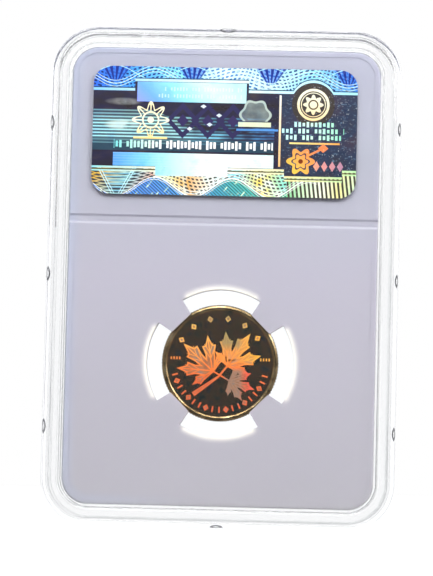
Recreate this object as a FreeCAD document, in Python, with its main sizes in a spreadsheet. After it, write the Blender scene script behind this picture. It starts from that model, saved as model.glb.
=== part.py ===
"""Graded coin slab: two clear half shells welded round a soft core that grips one small gold coin.

Millimetres, upright: X is the width, Y the thickness and Z the height. The halves meet in the plane Y = 0.
The origin is the middle of the flat bottom edge. The rear, with the foil label, looks along -Y.

Every piece is drawn as if it lay behind the weld plane, with its rear outwards, so the front shell is the same
drawing turned half a turn about Z.
"""

import FreeCAD, Part
import math
import os

import Sketcher
from FreeCAD import Rotation, Vector

# Alias, value and meaning of each driving dimension.
DRIVING_SIZES = (
    ("slab_width", 60.3, "outside of the flange, side to side"),
    ("slab_height", 85.7, "outside of the flange, bottom to top"),
    ("slab_thickness", 7.9, "over both stacking rims"),
    ("corner_radius", 8.2, "outside corners of the flange"),
    ("shoulder_width", 0.95, "flange that stands out past the stacking rim"),
    ("shoulder_rise", 2.5, "weld plane to the shoulder"),
    ("shoulder_fillet", 0.35, "outer edge of the shoulder"),
    ("rim_width", 2.25, "raised stacking rim, outer wall to inner wall"),
    ("rim_rise", 0.8, "stacking rim above the window"),
    ("rim_outer_fillet", 0.55, "outer edge of the stacking rim"),
    ("rim_inner_fillet", 0.3, "inner edge of the stacking rim"),
    ("wall_width", 3.65, "outside of the flange to the cavity"),
    ("cavity_depth", 1.95, "weld plane to the inside of the window"),
    ("tongue_inset", 1.75, "outside of the flange to the weld tongue"),
    ("tongue_width", 0.8, "weld tongue, side to side"),
    ("tongue_rise", 0.7, "weld tongue past the weld plane"),
    ("weld_gap", 0.05, "room round the tongue and the lugs"),
    ("lug_radius", 2.3, "half-round locating lug"),
    ("lug_reach", 0.35, "lug inwards from the edge of the flange"),
    ("lug_rise", 1.0, "lug past the weld plane"),
    ("lug_spacing", 26.1, "between the lugs of one long side"),
    ("core_gap", 0.1, "core to cavity wall"),
    ("core_thickness", 3.56, "face to face inside the lip"),
    ("lip_width", 0.9, "raised lip round both faces of the core"),
    ("lip_rise", 0.12, "lip above the face of the core"),
    ("lip_fillet", 0.25, "outer edge of the lip"),
    ("channel_height", 52.5, "bottom of the slab to the channel across the rear of the core"),
    ("channel_width", 1.5, "channel at the face of the core"),
    ("channel_floor", 0.8, "channel at its floor"),
    ("channel_depth", 0.4, "channel into the face of the core"),
    ("coin_height", 28.15, "bottom of the slab to the centre of the coin"),
    ("hole_radius", 12.6, "round hole of the core"),
    ("prong_angle", 26.0, "degrees that a prong covers"),
    ("prong_reach", 9.55, "centre of the coin to the tip of a prong"),
    ("prong_root", 0.4, "prong past the wall of the hole"),
    ("slot_radius", 10.05, "floor of the slot in a prong"),
    ("slot_run_out", 0.6, "slot's cut past the tip of a prong"),
    ("slot_width", 1.66, "slot in a prong, for the rim of the coin"),
    ("pocket_width", 51.0, "label pocket in the front of the core"),
    ("pocket_height", 25.0, "label pocket in the front of the core"),
    ("pocket_depth", 0.3, "label pocket in the front of the core"),
    ("pocket_middle", 67.6, "bottom of the slab to the middle of the label pocket"),
    ("pocket_corner", 1.2, "corners of the label pocket"),
    ("paper_gap", 0.2, "paper label to the wall of its pocket"),
    ("paper_thickness", 0.2, "paper label"),
    ("coin_radius", 10.0, "over the reeding"),
    ("coin_thickness", 1.6, "over the rims"),
    ("coin_rim_width", 0.8, "raised rim of the coin"),
    ("coin_field_depth", 0.22, "rim down to the field"),
    ("coin_bevel", 0.12, "edge of the coin and inside of its rim"),
    ("reed_depth", 0.1, "notch between two reeds"),
    ("reed_angle", 1.7, "degrees that a notch covers at the edge"),
    ("reed_count", 120, "notches round the edge"),
    ("foil_width", 45.2, "foil label"),
    ("foil_height", 22.0, "foil label"),
    ("foil_thickness", 0.1, "foil label"),
    ("foil_corner", 3.0, "corners of the foil label"),
    ("foil_middle", 67.65, "bottom of the slab to the middle of the foil label"),
    ("foil_shift", -0.15, "foil label, off the middle line"),
)
SIDE_LUGS = (-1, 0, 1)
PRONG_COUNT = 4
FIRST_PRONG = 45  # degrees
HALF_TURN = 180
FULL_TURN = 360
CUT_PAST = 1.0  # how far a cut runs out of the solid that it cuts
LEVEL_MATCH = 1e-4

DOCUMENT = FreeCAD.newDocument("coin_slab")


def make_sheet():
    """The spreadsheet of driving dimensions, one row for each."""
    sheet = DOCUMENT.addObject("Spreadsheet::Sheet", "sizes")
    for row, (alias, value, meaning) in enumerate(DRIVING_SIZES, 1):
        sheet.set(f"A{row}", alias)
        sheet.set(f"B{row}", str(value))
        sheet.setAlias(f"B{row}", alias)
        sheet.set(f"C{row}", meaning)
    DOCUMENT.recompute()
    return sheet


SHEET = make_sheet()


def bound(expression):
    """The expression with each alias written as a cell of the sheet."""
    words = "".join(c if c.isalnum() or c == "_" else " " for c in expression).split()
    for alias in sorted({w for w in words if SHEET.getCellFromAlias(w)}, key=len, reverse=True):
        expression = " ".join(f"sizes.{alias}" if w == alias else w for w in expression.split(" "))
    return expression


def size(expression):
    """The value of an expression on the sheet's aliases."""
    found = SHEET.evalExpression(expression)
    return float(getattr(found, "Value", found))


def bind(thing, **expressions):
    """Binds properties to the sheet: Placement_Base_z stands for Placement.Base.z."""
    for name, expression in expressions.items():
        thing.setExpression(name.replace("_", "."), bound(expression))


def make_body(name, **place):
    """A body whose Label names its file, placed by expressions on the sheet."""
    body = DOCUMENT.addObject("PartDesign::Body", name)
    body.Label = name
    bind(body, **place)
    return body


def make_sketch(body, name, role="XZ_Plane", **offset):
    """A sketch on one of the body's own origin planes."""
    sketch = body.newObject("Sketcher::SketchObject", name)
    plane = next(p for p in body.Origin.OriginFeatures if p.Role == role)
    sketch.AttachmentSupport = (plane, [""])
    sketch.MapMode = "FlatFace"
    bind(sketch, **{f"AttachmentOffset_Base_{axis}": text for axis, text in offset.items()})
    DOCUMENT.recompute()
    return sketch


def dimension(sketch, kind, *points, expression):
    """A dimensional constraint bound to an expression."""
    index = sketch.addConstraint(Sketcher.Constraint(kind, *points, size(expression)))
    sketch.setExpression(f"Constraints[{index}]", bound(expression))


def rounded_rectangle(sketch, width, height, radius):
    """A rectangle with round corners about the sketch's origin."""
    half_width = size(width) / 2
    half_height = size(height) / 2
    corner = size(radius)
    inner_width = half_width - corner
    inner_height = half_height - corner
    first = sketch.GeometryCount
    ends = (
        ((-inner_width, -half_height), (inner_width, -half_height)),
        ((half_width, -inner_height), (half_width, inner_height)),
        ((inner_width, half_height), (-inner_width, half_height)),
        ((-half_width, inner_height), (-half_width, -inner_height)),
    )
    for start, end in ends:
        sketch.addGeometry(Part.LineSegment(Vector(*start, 0), Vector(*end, 0)), False)
    for turn, (side_x, side_y) in enumerate(((1, -1), (1, 1), (-1, 1), (-1, -1))):
        circle = Part.Circle(Vector(side_x * inner_width, side_y * inner_height, 0), Vector(0, 0, 1), corner)
        start = (turn - 1) * math.pi / 2
        sketch.addGeometry(Part.ArcOfCircle(circle, start, start + math.pi / 2), False)
    for turn in range(4):
        line = first + turn
        arc = first + 4 + turn
        after = first + (turn + 1) % 4
        sketch.addConstraint(Sketcher.Constraint("Tangent", line, 2, arc, 1))
        sketch.addConstraint(Sketcher.Constraint("Tangent", arc, 2, after, 1))
    for line, way in enumerate(("Horizontal", "Vertical", "Horizontal", "Vertical")):
        sketch.addConstraint(Sketcher.Constraint(way, first + line))
    for turn in range(1, 4):
        sketch.addConstraint(Sketcher.Constraint("Equal", first + 4, first + 4 + turn))
    sketch.addConstraint(Sketcher.Constraint("Symmetric", first, 1, first + 2, 1, -1, 1))
    dimension(sketch, "DistanceX", first + 3, 1, first + 1, 1, expression=width)
    dimension(sketch, "DistanceY", first, 1, first + 2, 1, expression=height)
    dimension(sketch, "Radius", first + 4, expression=radius)


def inset_rectangle(sketch, inset):
    """The outline of the slab, drawn in by `inset` all round."""
    rounded_rectangle(
        sketch,
        f"slab_width - 2 * {inset}",
        f"slab_height - 2 * {inset}",
        f"corner_radius - {inset}",
    )


def hold(sketch, geometry, point, across, up):
    """Holds a point at a place given by two (sign, expression) pairs, where a sign of 0 is on the axis."""
    for kind, axis, (sign, expression) in (("DistanceX", -2, across), ("DistanceY", -1, up)):
        if sign == 0:
            sketch.addConstraint(Sketcher.Constraint("PointOnObject", geometry, point, axis))
        elif sign > 0:
            dimension(sketch, kind, -1, 1, geometry, point, expression=expression)
        else:
            dimension(sketch, kind, geometry, point, -1, 1, expression=expression)


def edge_segment(sketch, side, place, radius, overrun):
    """A circle segment that reaches in from one edge of the slab.

    `side` is the unit vector to that edge, `place` the (sign, expression) of the middle along it. The chord
    lies `overrun` past the edge.
    """
    across = side[0] != 0
    sign = side[0] + side[1]
    half = "slab_width / 2" if across else "slab_height / 2"
    centre_out = f"{half} + lug_radius - lug_reach"
    chord_out = f"{half} + {overrun}"
    out = sign * size(centre_out)
    along = place[0] * size(place[1])
    centre = Vector(out, along, 0) if across else Vector(along, out, 0)
    inward = Vector(-side[0], -side[1], 0)
    cosine = (size(centre_out) - size(chord_out)) / size(radius)
    middle = math.atan2(inward.y, inward.x)
    spread = math.acos(cosine)
    arc = sketch.addGeometry(
        Part.ArcOfCircle(Part.Circle(centre, Vector(0, 0, 1), size(radius)), middle - spread, middle + spread),
        False,
    )
    ends = [sketch.getPoint(arc, point) for point in (2, 1)]
    chord = sketch.addGeometry(Part.LineSegment(*ends), False)
    sketch.addConstraint(Sketcher.Constraint("Coincident", arc, 2, chord, 1))
    sketch.addConstraint(Sketcher.Constraint("Coincident", chord, 2, arc, 1))
    sketch.addConstraint(Sketcher.Constraint("Vertical" if across else "Horizontal", chord))
    dimension(sketch, "Radius", arc, expression=radius)
    centre_places = ((sign, centre_out), place)
    hold(sketch, arc, 3, *(centre_places if across else reversed(centre_places)))
    kind = "DistanceX" if across else "DistanceY"
    points = (-1, 1, chord, 1) if sign > 0 else (chord, 1, -1, 1)
    dimension(sketch, kind, *points, expression=chord_out)


def edge_segments(sketch, radius, overrun):
    """The segments of all eight lugs: three on each long side and one at the top and the bottom."""
    for side in ((1, 0), (-1, 0)):
        for step in SIDE_LUGS:
            edge_segment(sketch, side, (step, "lug_spacing"), radius, overrun)
    for side in ((0, 1), (0, -1)):
        edge_segment(sketch, side, (0, "0"), radius, overrun)


def polygon(sketch, points):
    """A closed outline through points, each two (sign, expression) pairs."""
    places = [Vector(*(sign * size(text) for sign, text in point), 0) for point in points]
    lines = [
        sketch.addGeometry(Part.LineSegment(place, after), False)
        for place, after in zip(places, places[1:] + places[:1])
    ]
    for line, after in zip(lines, lines[1:] + lines[:1]):
        sketch.addConstraint(Sketcher.Constraint("Coincident", line, 2, after, 1))
    for line, point in zip(lines, points):
        hold(sketch, line, 1, *point)


def extrude(kind, body, sketch, name, length, back=False, both_ways=False):
    """A Pad or a Pocket: `back` turns it round, `both_ways` spreads it evenly about the sketch."""
    feature = body.newObject(f"PartDesign::{kind}", name)
    feature.Profile = sketch
    feature.Reversed = back
    if both_ways:
        feature.SideType = "Symmetric"
    bind(feature, Length=length)
    DOCUMENT.recompute()
    return feature


def loop_edges(feature, level, outer):
    """The edges of the outer or the inner loop of the flat face at `level` along Y."""
    for face in feature.Shape.Faces:
        box = face.BoundBox
        flat = box.YLength < LEVEL_MATCH and abs(box.YMin - level) < LEVEL_MATCH
        if flat and len(face.Wires) == 2:
            wanted = [w for w in face.Wires if w.isSame(face.OuterWire) == outer]
            edges = wanted[0].Edges
            names = [
                f"Edge{index}"
                for index, edge in enumerate(feature.Shape.Edges, 1)
                if any(edge.isSame(other) for other in edges)
            ]
            return names
    raise ValueError(f"{feature.Name} has no ring at {level}")


def round_edges(body, feature, name, edges, radius):
    """A fillet on the named edges of a feature."""
    fillet = body.newObject("PartDesign::Fillet", name)
    fillet.Base = (feature, edges)
    bind(fillet, Radius=radius)
    DOCUMENT.recompute()
    return fillet


def make_shell(name, turned, with_tongue):
    """A clear half shell, with its outside towards -Y before it is turned."""
    body = make_body(name)
    body.Placement.Rotation = Rotation(Vector(0, 0, 1), HALF_TURN if turned else 0)
    bind(body, Placement_Base_z="slab_height / 2")

    flange = make_sketch(body, f"{name}_flange_outline")
    inset_rectangle(flange, "0")
    extrude("Pad", body, flange, f"{name}_flange", "shoulder_rise")

    rim = make_sketch(body, f"{name}_rim_outline", z="shoulder_rise")
    inset_rectangle(rim, "shoulder_width")
    extrude("Pad", body, rim, f"{name}_rim", "slab_thickness / 2 - shoulder_rise")

    window = make_sketch(body, f"{name}_window_outline", z="slab_thickness / 2")
    inset_rectangle(window, "( shoulder_width + rim_width )")
    recess = extrude("Pocket", body, window, f"{name}_window", "rim_rise")

    top = -size("slab_thickness / 2")
    outer = round_edges(body, recess, f"{name}_rim_outer", loop_edges(recess, top, True), "rim_outer_fillet")
    inner = round_edges(body, outer, f"{name}_rim_inner", loop_edges(outer, top, False), "rim_inner_fillet")
    shoulder = loop_edges(inner, -size("shoulder_rise"), True)
    round_edges(body, inner, f"{name}_shoulder", shoulder, "shoulder_fillet")

    cavity = make_sketch(body, f"{name}_cavity_outline")
    inset_rectangle(cavity, "wall_width")
    extrude("Pocket", body, cavity, f"{name}_cavity", "cavity_depth", back=True)

    weld = make_sketch(body, f"{name}_weld_outline")
    lugs = make_sketch(body, f"{name}_lug_outline")
    if with_tongue:
        inset_rectangle(weld, "tongue_inset")
        inset_rectangle(weld, "( tongue_inset + tongue_width )")
        extrude("Pad", body, weld, f"{name}_tongue", "tongue_rise", back=True)
        edge_segments(lugs, "lug_radius", "0")
        extrude("Pad", body, lugs, f"{name}_lugs", "lug_rise", back=True)
    else:
        inset_rectangle(weld, "( tongue_inset - weld_gap )")
        inset_rectangle(weld, "( tongue_inset + tongue_width + weld_gap )")
        extrude("Pocket", body, weld, f"{name}_groove", "tongue_rise + weld_gap", back=True)
        edge_segments(lugs, "lug_radius + weld_gap", f"{CUT_PAST}")
        extrude("Pocket", body, lugs, f"{name}_notches", "lug_rise + weld_gap", back=True)
    return body


def make_core():
    """The soft core: lip, rear channel, hole with four slotted prongs, and label pocket."""
    body = make_body("coin_core", Placement_Base_z="slab_height / 2")
    outline = make_sketch(body, "core_outline")
    inset_rectangle(outline, "( wall_width + core_gap )")
    extrude("Pad", body, outline, "core_plate", "core_thickness", both_ways=True)

    lip = make_sketch(body, "lip_outline")
    inset_rectangle(lip, "( wall_width + core_gap )")
    inset_rectangle(lip, "( wall_width + core_gap + lip_width )")
    ring = extrude("Pad", body, lip, "core_lip", "core_thickness + 2 * lip_rise", both_ways=True)

    level = size("core_thickness / 2 + lip_rise")
    edges = loop_edges(ring, -level, True) + loop_edges(ring, level, True)
    round_edges(body, ring, "core_lip_edge", edges, "lip_fillet")

    channel = make_sketch(body, "channel_profile", role="YZ_Plane", y="channel_height - slab_height / 2")
    floor = (-1, "core_thickness / 2 - channel_depth")
    mouth = (-1, "core_thickness / 2")
    above = (-1, f"core_thickness / 2 + {CUT_PAST}")
    low = (-1, "channel_width / 2")
    high = (1, "channel_width / 2")
    outline = (
        (floor, (-1, "channel_floor / 2")),
        (floor, (1, "channel_floor / 2")),
        (mouth, high),
        (above, high),
        (above, low),
        (mouth, low),
    )
    polygon(channel, outline)
    extrude("Pocket", body, channel, "core_channel", "slab_width", both_ways=True)

    hole = make_sketch(body, "hole_outline", y="coin_height - slab_height / 2")
    circle = hole.addGeometry(Part.Circle(Vector(0, 0, 0), Vector(0, 0, 1), size("hole_radius")), False)
    hole.addConstraint(Sketcher.Constraint("Coincident", circle, 3, -1, 1))
    dimension(hole, "Radius", circle, expression="hole_radius")
    extrude("Pocket", body, hole, "core_hole", f"core_thickness + 2 * {CUT_PAST}", both_ways=True)

    prong = make_sketch(body, "prong_outline")
    prong.AttachmentOffset.Rotation = Rotation(Vector(0, 0, 1), FIRST_PRONG)
    bind(prong, AttachmentOffset_Base_y="coin_height - slab_height / 2")
    tip = (1, "prong_reach")
    root = (1, "hole_radius + prong_root")
    tip_half = "prong_reach * tan( prong_angle * 1deg / 2 )"
    root_half = "( hole_radius + prong_root ) * tan( prong_angle * 1deg / 2 )"
    polygon(
        prong,
        ((tip, (-1, tip_half)), (root, (-1, root_half)), (root, (1, root_half)), (tip, (1, tip_half))),
    )
    one = extrude("Pad", body, prong, "core_prong", "core_thickness", both_ways=True)
    prongs = body.newObject("PartDesign::PolarPattern", "core_prongs")
    prongs.Originals = [one]
    prongs.Axis = (prong, ["N_Axis"])
    prongs.Angle = FULL_TURN
    prongs.Occurrences = PRONG_COUNT
    body.Tip = prongs
    DOCUMENT.recompute()

    slot = make_sketch(body, "slot_profile", role="YZ_Plane", y="coin_height - slab_height / 2")
    inside = (1, "prong_reach - slot_run_out")
    outside = (1, "slot_radius")
    rear = (-1, "slot_width / 2")
    front = (1, "slot_width / 2")
    polygon(slot, ((rear, inside), (front, inside), (front, outside), (rear, outside)))
    groove = body.newObject("PartDesign::Groove", "prong_slots")
    groove.Profile = slot
    groove.ReferenceAxis = (slot, ["H_Axis"])
    groove.Angle = FULL_TURN
    DOCUMENT.recompute()

    pocket = make_sketch(
        body, "pocket_outline", y="pocket_middle - slab_height / 2", z="0 - core_thickness / 2"
    )
    rounded_rectangle(pocket, "pocket_width", "pocket_height", "pocket_corner")
    extrude("Pocket", body, pocket, "label_pocket", "pocket_depth", back=True)
    return body


def make_coin():
    """The coin about its own centre: a disc with raised rims on both faces and a reeded edge."""
    body = make_body("coin", Placement_Base_z="coin_height")
    profile = make_sketch(body, "coin_profile", role="YZ_Plane")
    face = "coin_thickness / 2"
    field = "coin_thickness / 2 - coin_field_depth"
    shoulder = "coin_thickness / 2 - coin_bevel"
    half = (
        (field, "coin_radius - coin_rim_width - coin_bevel"),
        (face, "coin_radius - coin_rim_width"),
        (face, "coin_radius - coin_bevel"),
        (shoulder, "coin_radius"),
    )
    front = [((1, across), (1, up)) for across, up in half]
    rear = [((-1, across), (1, up)) for across, up in reversed(half)]
    polygon(profile, [((1, field), (0, "0")), *front, *rear, ((-1, field), (0, "0"))])
    disc = body.newObject("PartDesign::Revolution", "coin_disc")
    disc.Profile = profile
    disc.ReferenceAxis = (profile, ["H_Axis"])
    disc.Angle = FULL_TURN
    DOCUMENT.recompute()

    notch = make_sketch(body, "reed_outline")
    out = "( coin_radius + reed_depth )"
    half_notch = f"{out} * tan( reed_angle * 1deg / 2 )"
    polygon(
        notch,
        (
            ((1, "coin_radius - reed_depth"), (0, "0")),
            ((1, out), (1, half_notch)),
            ((1, out), (-1, half_notch)),
        ),
    )
    one = extrude("Pocket", body, notch, "reed_notch", "2 * coin_thickness", both_ways=True)
    reeds = body.newObject("PartDesign::PolarPattern", "reeding")
    reeds.Originals = [one]
    reeds.Axis = (notch, ["N_Axis"])
    reeds.Angle = FULL_TURN
    bind(reeds, Occurrences="reed_count")
    body.Tip = reeds
    DOCUMENT.recompute()
    return body


def make_label(name, width, height, corner, thickness, **place):
    """A flat label that lies in the plane of its sketch and is `thickness` thick towards the rear."""
    body = make_body(name, **place)
    outline = make_sketch(body, f"{name}_outline")
    rounded_rectangle(outline, width, height, corner)
    extrude("Pad", body, outline, f"{name}_sheet", thickness)
    return body


def check(pieces):
    """Stops if any object failed, or a piece is not one sound solid."""
    for thing in DOCUMENT.Objects:
        bad = {"Invalid", "Error"} & set(thing.State)
        if bad:
            raise RuntimeError(f"{thing.Name}: {thing.State}")
    for piece in pieces:
        if piece.Shape.isNull() or not piece.Shape.isValid() or len(piece.Shape.Solids) != 1:
            raise RuntimeError(f"{piece.Label} is not one valid solid")


PIECES = (
    make_shell("rear_shell", turned=False, with_tongue=True),
    make_shell("front_shell", turned=True, with_tongue=False),
    make_core(),
    make_coin(),
    make_label(
        "hologram_label",
        "foil_width",
        "foil_height",
        "foil_corner",
        "foil_thickness",
        Placement_Base_x="foil_shift",
        Placement_Base_y="rim_rise - slab_thickness / 2",
        Placement_Base_z="foil_middle",
    ),
    make_label(
        "front_label",
        "pocket_width - 2 * paper_gap",
        "pocket_height - 2 * paper_gap",
        "pocket_corner - paper_gap",
        "paper_thickness",
        Placement_Base_y="core_thickness / 2 - pocket_depth + paper_thickness",
        Placement_Base_z="pocket_middle",
    ),
)
DOCUMENT.recompute()
check(PIECES)
os.makedirs("parts", exist_ok=True)
for piece in PIECES:
    piece.Shape.exportStep(f"parts/{piece.Label}.step")
    print(f"{piece.Label}: {piece.Shape.Volume:.1f} mm3")
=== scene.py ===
"""Looks of the graded coin slab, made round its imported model.

Metres, +Z up. The rear of the slab, with the foil label, looks along -Y, and the front along +Y. Relief is
made flat on a bench, in millimetres, where x runs across a face, y up it and z out of it, and then stood up.
"""

import math

import bpy
from mathutils import Matrix, Vector


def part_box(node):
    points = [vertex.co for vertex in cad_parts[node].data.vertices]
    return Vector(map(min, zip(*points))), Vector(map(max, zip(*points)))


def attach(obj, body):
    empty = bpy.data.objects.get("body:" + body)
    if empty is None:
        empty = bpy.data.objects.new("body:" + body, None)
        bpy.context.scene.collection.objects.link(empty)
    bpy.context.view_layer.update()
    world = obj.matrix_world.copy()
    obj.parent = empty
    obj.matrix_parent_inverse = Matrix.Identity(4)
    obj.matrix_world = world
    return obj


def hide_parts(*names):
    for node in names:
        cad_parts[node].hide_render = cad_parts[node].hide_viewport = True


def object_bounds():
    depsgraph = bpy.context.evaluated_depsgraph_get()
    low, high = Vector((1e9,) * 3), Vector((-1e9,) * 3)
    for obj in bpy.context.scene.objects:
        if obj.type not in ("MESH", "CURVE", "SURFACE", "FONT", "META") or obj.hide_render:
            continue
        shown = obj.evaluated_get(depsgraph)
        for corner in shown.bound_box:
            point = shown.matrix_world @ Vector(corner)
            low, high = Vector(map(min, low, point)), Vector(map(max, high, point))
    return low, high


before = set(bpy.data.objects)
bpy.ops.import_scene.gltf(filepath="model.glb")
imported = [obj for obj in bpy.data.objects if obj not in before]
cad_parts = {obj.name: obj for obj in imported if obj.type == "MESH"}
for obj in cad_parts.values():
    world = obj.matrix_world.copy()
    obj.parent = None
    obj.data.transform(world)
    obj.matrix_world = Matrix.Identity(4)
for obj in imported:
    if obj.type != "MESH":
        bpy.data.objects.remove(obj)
cad_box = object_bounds()

MM = 0.001


def node_middle(name):
    """The middle of a CAD node's box."""
    low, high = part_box(name)
    return (low + high) / 2


def node_size(name):
    """The size of a CAD node's box, in millimetres."""
    low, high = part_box(name)
    return (high - low) / MM


SLAB_MIDDLE = (cad_box[0] + cad_box[1]) / 2
SLAB_SIZE = (cad_box[1] - cad_box[0]) / MM
COIN_MIDDLE = node_middle("coin")
COIN_RADIUS = node_size("coin").x / 2
COIN_THICKNESS = node_size("coin").y
FIELD_DEPTH = 0.22  # millimetres from the rim of the coin down to its field
FOIL_MIDDLE = node_middle("hologram_label")
PAPER_MIDDLE = node_middle("front_label")
PAPER_SIZE = node_size("front_label")

# ---------------------------------------------------------------- camera, light and floor

CAMERA_DISTANCE = 0.4
CAMERA_AZIMUTH = math.radians(1.3)
CAMERA_ELEVATION = math.radians(-3.6)
CAMERA_ROLL = math.radians(1.4)
SENSOR = 36.0
VIEW_HEIGHT = 98.9 * MM  # what the frame takes in at the slab
AIM_RIGHT = 1.0 * MM  # the slab stands this far right of the middle of the frame
AIM_UP = 1.75 * MM  # and this far above it


def make_camera():
    """The camera, with a long lens, before the rear of the slab and a little below its middle."""
    data = bpy.data.cameras.new("camera")
    camera = bpy.data.objects.new("camera", data)
    bpy.context.scene.collection.objects.link(camera)
    data.sensor_width = SENSOR
    data.lens = SENSOR * CAMERA_DISTANCE / VIEW_HEIGHT
    data.shift_x = -AIM_RIGHT / VIEW_HEIGHT
    data.shift_y = -AIM_UP / VIEW_HEIGHT
    data.clip_start = 0.01
    data.clip_end = 10
    level = math.cos(CAMERA_ELEVATION)
    across = math.sin(CAMERA_AZIMUTH) * level
    through = -math.cos(CAMERA_AZIMUTH) * level
    back = Vector((across, through, math.sin(CAMERA_ELEVATION)))
    camera.location = SLAB_MIDDLE + back * CAMERA_DISTANCE
    camera.rotation_mode = "QUATERNION"
    straight = (-back).to_track_quat("-Z", "Y").to_matrix()
    camera.rotation_quaternion = (straight @ Matrix.Rotation(CAMERA_ROLL, 3, "Z")).to_quaternion()
    bpy.context.scene.camera = camera


def make_lamp(name, way, distance, size, power):
    """A soft square lamp that looks at the slab from the direction `way`."""
    data = bpy.data.lights.new(name, "AREA")
    data.size = size
    data.energy = power
    lamp = bpy.data.objects.new(name, data)
    bpy.context.scene.collection.objects.link(lamp)
    lamp.location = SLAB_MIDDLE + Vector(way).normalized() * distance
    lamp.rotation_mode = "QUATERNION"
    lamp.rotation_quaternion = (-Vector(way)).to_track_quat("-Z", "Y")


# ---------------------------------------------------------------- finishes: node trees written as sums


class Amount:
    """A number that changes over a surface. Arithmetic on it adds Math nodes."""

    def __init__(self, nodes, socket):
        self.nodes = nodes
        self.socket = socket

    def sum(self, operation, *others):
        return self.nodes.maths(operation, self, *others)

    def __add__(self, other):
        return self.sum("ADD", other)

    def __sub__(self, other):
        return self.sum("SUBTRACT", other)

    def __rsub__(self, other):
        return self.nodes.maths("SUBTRACT", other, self)

    def __mul__(self, other):
        return self.sum("MULTIPLY", other)

    def __rmul__(self, other):
        return self.nodes.maths("MULTIPLY", other, self)

    def __truediv__(self, other):
        return self.sum("DIVIDE", other)

    def __pow__(self, other):
        return self.sum("POWER", other)

    def __neg__(self):
        return self.sum("MULTIPLY", -1.0)

    def __abs__(self):
        return self.sum("ABSOLUTE")

    def __gt__(self, other):
        return self.sum("GREATER_THAN", other)

    def __lt__(self, other):
        return self.sum("LESS_THAN", other)

    def __mod__(self, other):
        return self.sum("FLOORED_MODULO", other)

    def __floordiv__(self, other):
        return self.sum("DIVIDE", other).sum("FLOOR")

    def sine(self):
        return self.sum("SINE")

    def cosine(self):
        return self.sum("COSINE")

    def root(self):
        return self.sum("MAXIMUM", 0.0).sum("SQRT")

    def least(self, other):
        return self.sum("MINIMUM", other)

    def most(self, other):
        return self.sum("MAXIMUM", other)

    def within(self, low, high):
        """1 where the number lies between two others."""
        return (self > low) * (self < high)

    def near(self, middle, half):
        """1 where the number is less than `half` from `middle`."""
        return abs(self - middle) < half

    def stripes(self, pitch, share):
        """1 on stripes that take up a share of each pitch."""
        return (self / pitch) % 1.0 < share

    def wave(self, length, start=0.0):
        """A cosine from -1 to 1 that is 1 at `start`."""
        return ((self - start) * (2 * math.pi / length)).cosine()

    def rise(self, low, high):
        """A smooth climb from 0 at `low` to 1 at `high`, which may be the lower of the two."""
        falls = low > high
        values = {0: self, 1: min(low, high), 2: max(low, high), 3: float(falls), 4: float(not falls)}
        made = self.nodes.node("MapRange", {"interpolation_type": "SMOOTHSTEP"}, values)
        return Amount(self.nodes, made.outputs[0])


class Nodes:
    """A node tree. Everything in it is added by `node`."""

    def __init__(self, tree):
        self.tree = tree
        tree.nodes.clear()

    def node(self, kind, settings=None, values=None):
        """A shader node: its settings are set first, then its sockets get values or links."""
        made = self.tree.nodes.new("ShaderNode" + kind)
        for name, value in (settings or {}).items():
            if name == "stops":
                self.set_stops(made.color_ramp, value)
            else:
                setattr(made, name, value)
        for name, value in (values or {}).items():
            self.feed(made.inputs[name], value)
        return made

    def set_stops(self, ramp, stops):
        while len(ramp.elements) < len(stops):
            ramp.elements.new(0.5)
        for element, (place, colour) in zip(ramp.elements, stops):
            element.position = place
            element.color = (*colour, 1)

    def feed(self, socket, value):
        """Gives a socket a value or a link."""
        if isinstance(value, Amount):
            value = value.socket
        if isinstance(value, bpy.types.NodeSocket):
            self.tree.links.new(value, socket)
        elif isinstance(value, tuple) and len(value) == 3 and socket.type == "RGBA":
            socket.default_value = (*value, 1)
        else:
            socket.default_value = value

    def maths(self, operation, *values):
        made = self.node("Math", {"operation": operation}, dict(enumerate(values)))
        return Amount(self, made.outputs[0])

    def mix(self, share, first, second, blend="MIX"):
        """One colour over another."""
        settings = {"data_type": "RGBA", "blend_type": blend}
        return self.node("Mix", settings, {0: share, 6: first, 7: second}).outputs[2]

    def ramp(self, amount, low, high, *colours):
        """Evenly spaced colours that follow a number from `low` to `high`."""
        stops = [(index / (len(colours) - 1), colour) for index, colour in enumerate(colours)]
        share = (amount - low) / (high - low)
        return self.node("ValToRGB", {"stops": stops}, {0: share}).outputs[0]


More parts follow.
